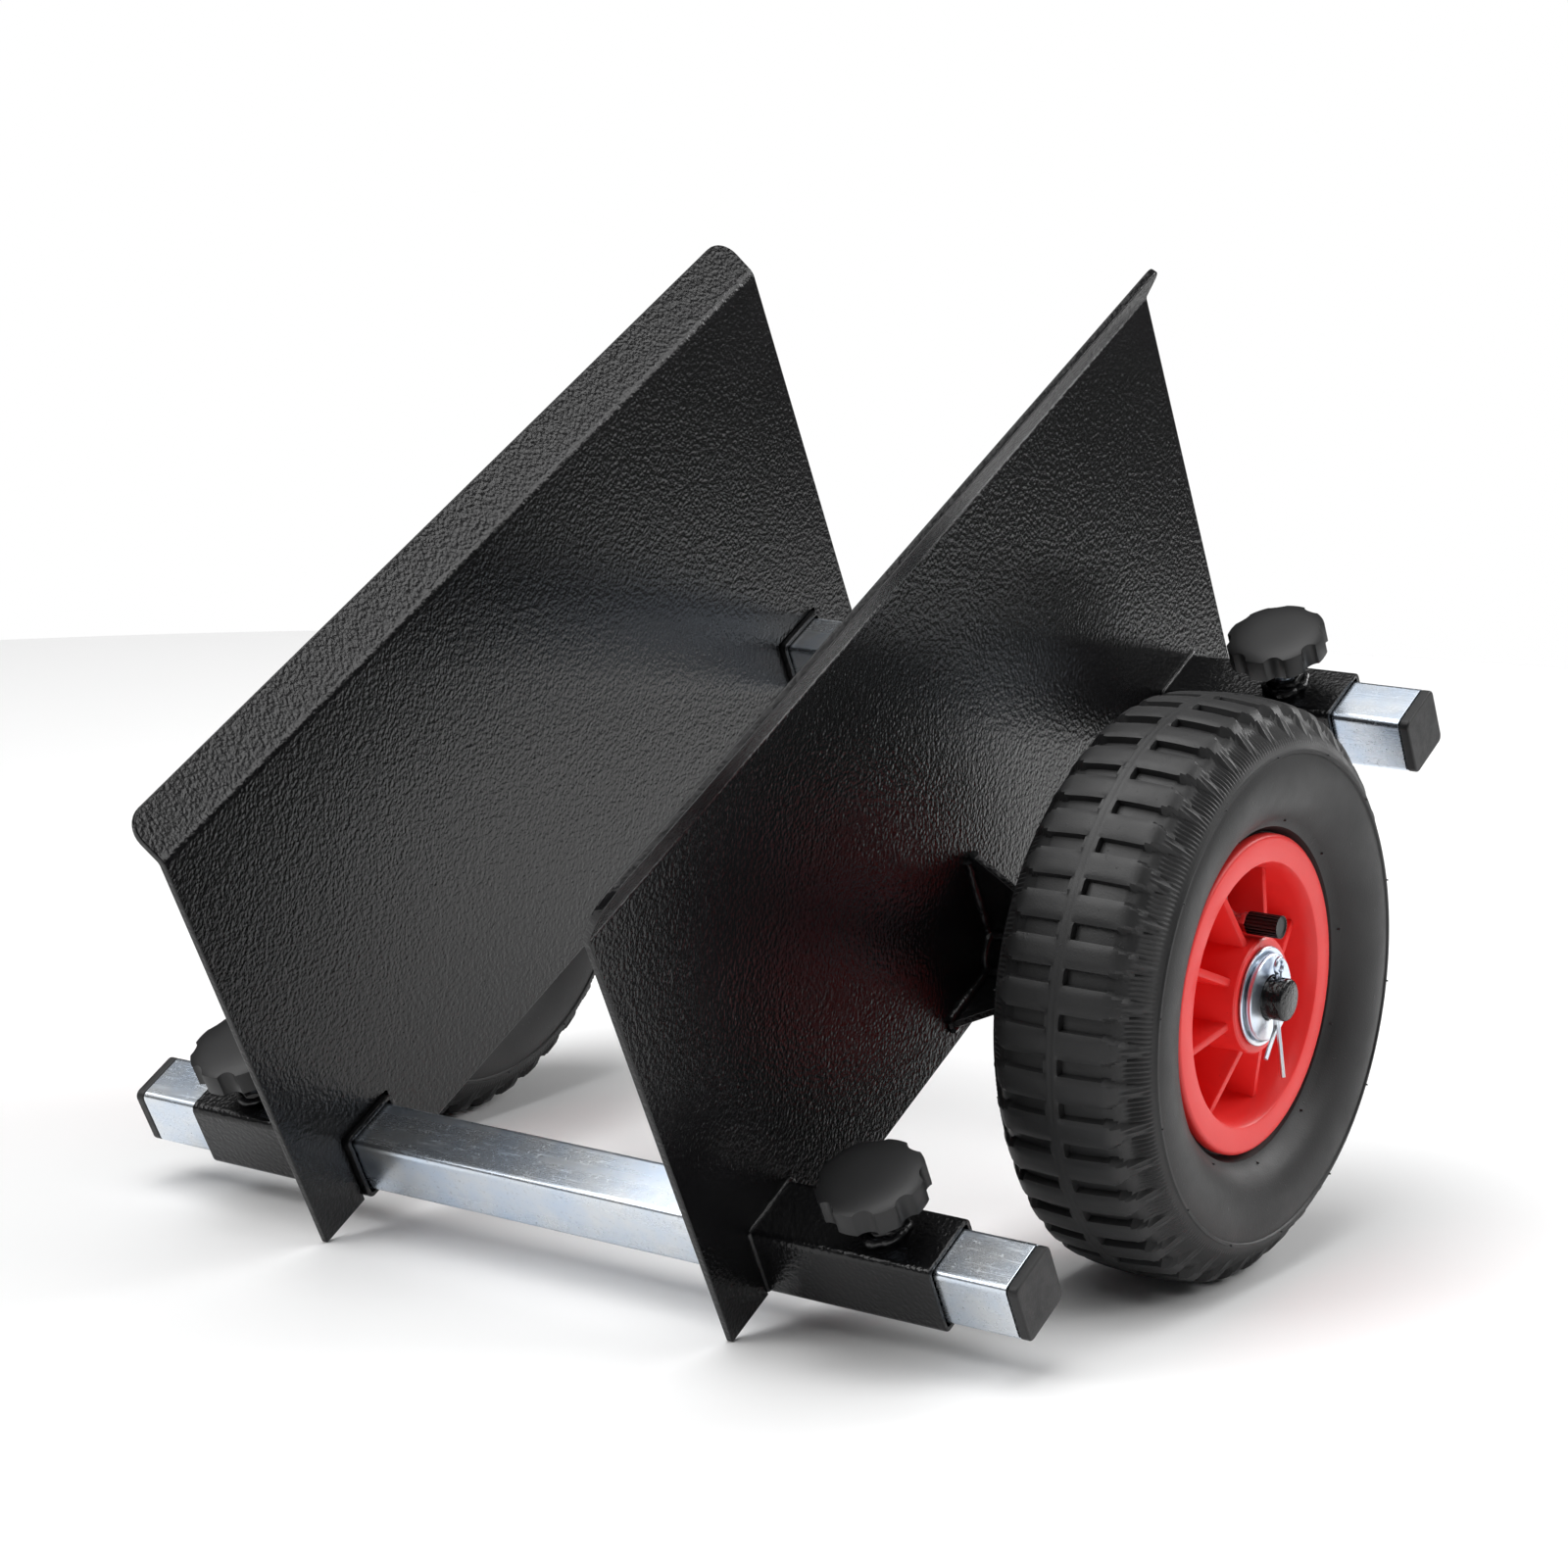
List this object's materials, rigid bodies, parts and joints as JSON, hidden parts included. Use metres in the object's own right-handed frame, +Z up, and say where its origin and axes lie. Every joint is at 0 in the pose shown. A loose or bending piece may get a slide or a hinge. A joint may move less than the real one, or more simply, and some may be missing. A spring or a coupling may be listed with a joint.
{
  "type": "panel dolly",
  "caption": "Low adjustable dolly: cheek plates with flared top edges slide on square rails, lock with clamp knobs and ride on pneumatic wheels.",
  "frame": {"origin": "on the floor, at the centre of the object's box seen from above", "axes": "+Z up from the floor, +X to the right across the two rails and along the axles, +Y to the rear, where the tipped plates rise"},
  "size_m": [0.444, 0.4554, 0.3687],
  "materials": {
    "black_powder_coat": "glossy black powder coat with orange-peel texture",
    "zinc_plate": "bright bluish zinc plating with soft streaks",
    "bearing_steel": "polished steel",
    "black_plastic": "satin moulded black plastic",
    "cap_plastic": "scuffed dark plastic",
    "tyre_rubber": "matte black moulded rubber",
    "tube_rubber": "smooth black butyl rubber",
    "red_plastic": "satin moulded red plastic"
  },
  "bodies": {
    "right_carriage": {"right_cheek_plate": "black_powder_coat", "front_right_sleeve": "black_powder_coat", "front_right_weld_nut": "black_powder_coat", "rear_right_sleeve": "black_powder_coat", "rear_right_weld_nut": "black_powder_coat", "right_upright_axle_web": "black_powder_coat", "right_front_axle_web": "black_powder_coat", "right_rear_axle_web": "black_powder_coat", "right_axle": "black_powder_coat", "right_inner_washer": "zinc_plate", "right_inner_bearing_bush": "bearing_steel", "right_outer_washer": "zinc_plate", "right_outer_bearing_bush": "bearing_steel", "right_cotter_pin": "zinc_plate"},
    "left_carriage": {"left_cheek_plate": "black_powder_coat", "front_left_sleeve": "black_powder_coat", "front_left_weld_nut": "black_powder_coat", "rear_left_sleeve": "black_powder_coat", "rear_left_weld_nut": "black_powder_coat", "left_upright_axle_web": "black_powder_coat", "left_front_axle_web": "black_powder_coat", "left_rear_axle_web": "black_powder_coat", "left_axle": "black_powder_coat", "left_inner_washer": "zinc_plate", "left_inner_bearing_bush": "bearing_steel", "left_outer_washer": "zinc_plate", "left_outer_bearing_bush": "bearing_steel", "left_cotter_pin": "zinc_plate"},
    "front_rail_assembly": {"front_rail": "zinc_plate", "front_left_end_cap": "cap_plastic", "front_right_end_cap": "cap_plastic"},
    "rear_rail_assembly": {"rear_rail": "zinc_plate", "rear_left_end_cap": "cap_plastic", "rear_right_end_cap": "cap_plastic"},
    "left_wheel": {"left_tyre": "tyre_rubber", "left_inner_tube": "tube_rubber", "left_rim": "red_plastic", "left_valve_stem": "bearing_steel", "left_valve_cap": "black_plastic", "left_inner_bearing_race": "bearing_steel", "left_outer_bearing_race": "bearing_steel"},
    "right_wheel": {"right_tyre": "tyre_rubber", "right_inner_tube": "tube_rubber", "right_rim": "red_plastic", "right_valve_stem": "bearing_steel", "right_valve_cap": "black_plastic", "right_inner_bearing_race": "bearing_steel", "right_outer_bearing_race": "bearing_steel"},
    "front_left_stud": {"front_left_knob_stud": "zinc_plate"},
    "front_left_knob": {"front_left_knob_head": "black_plastic"},
    "front_right_stud": {"front_right_knob_stud": "zinc_plate"},
    "front_right_knob": {"front_right_knob_head": "black_plastic"},
    "rear_left_stud": {"rear_left_knob_stud": "zinc_plate"},
    "rear_left_knob": {"rear_left_knob_head": "black_plastic"},
    "rear_right_stud": {"rear_right_knob_stud": "zinc_plate"},
    "rear_right_knob": {"rear_right_knob_head": "black_plastic"}
  },
  "joints": [
    {"name": "left_carriage_slide", "type": "slide", "parent": "right_carriage", "child": "left_carriage", "axis": [1, 0, 0], "range_m": [-0.027, 0.178]},
    {"name": "front_rail_slide", "type": "slide", "parent": "right_carriage", "child": "front_rail_assembly", "axis": [1, 0, 0], "range_m": [-0.025, 0.025]},
    {"name": "rear_rail_slide", "type": "slide", "parent": "right_carriage", "child": "rear_rail_assembly", "axis": [1, 0, 0], "range_m": [-0.025, 0.025]},
    {"name": "right_wheel_spin", "type": "hinge", "parent": "right_carriage", "child": "right_wheel", "pos_m": [0.1843, 0.03915, 0.11], "axis": [1, 0, 0], "continuous": true},
    {"name": "left_wheel_spin", "type": "hinge", "parent": "left_carriage", "child": "left_wheel", "pos_m": [-0.1843, 0.03915, 0.11], "axis": [1, 0, 0], "continuous": true},
    {"name": "front_right_knob_turn", "type": "hinge", "parent": "front_right_stud", "child": "front_right_knob", "pos_m": [0.146, -0.12175, 0.05993], "axis": [0, -0.4715, 0.8819], "range_deg": [0, 1720]},
    {"name": "front_right_stud_travel", "type": "slide", "parent": "right_carriage", "child": "front_right_stud", "axis": [0, -0.4715, 0.8819], "range_m": [0, 0.006]},
    {"name": "front_left_knob_turn", "type": "hinge", "parent": "front_left_stud", "child": "front_left_knob", "pos_m": [-0.146, -0.12175, 0.05993], "axis": [0, -0.4715, 0.8819], "range_deg": [0, 1720]},
    {"name": "front_left_stud_travel", "type": "slide", "parent": "left_carriage", "child": "front_left_stud", "axis": [0, -0.4715, 0.8819], "range_m": [0, 0.006]},
    {"name": "rear_right_knob_turn", "type": "hinge", "parent": "rear_right_stud", "child": "rear_right_knob", "pos_m": [0.146, 0.17016, 0.21599], "axis": [0, -0.4715, 0.8819], "range_deg": [0, 1720]},
    {"name": "rear_right_stud_travel", "type": "slide", "parent": "right_carriage", "child": "rear_right_stud", "axis": [0, -0.4715, 0.8819], "range_m": [0, 0.006]},
    {"name": "rear_left_knob_turn", "type": "hinge", "parent": "rear_left_stud", "child": "rear_left_knob", "pos_m": [-0.146, 0.17016, 0.21599], "axis": [0, -0.4715, 0.8819], "range_deg": [0, 1720]},
    {"name": "rear_left_stud_travel", "type": "slide", "parent": "left_carriage", "child": "rear_left_stud", "axis": [0, -0.4715, 0.8819], "range_m": [0, 0.006]}
  ],
  "couplings": [
    {"joint": "front_right_stud_travel", "follows": "front_right_knob_turn", "m_per_rad": 0.00019894},
    {"joint": "front_left_stud_travel", "follows": "front_left_knob_turn", "m_per_rad": 0.00019894},
    {"joint": "rear_right_stud_travel", "follows": "rear_right_knob_turn", "m_per_rad": 0.00019894},
    {"joint": "rear_left_stud_travel", "follows": "rear_left_knob_turn", "m_per_rad": 0.00019894}
  ]
}
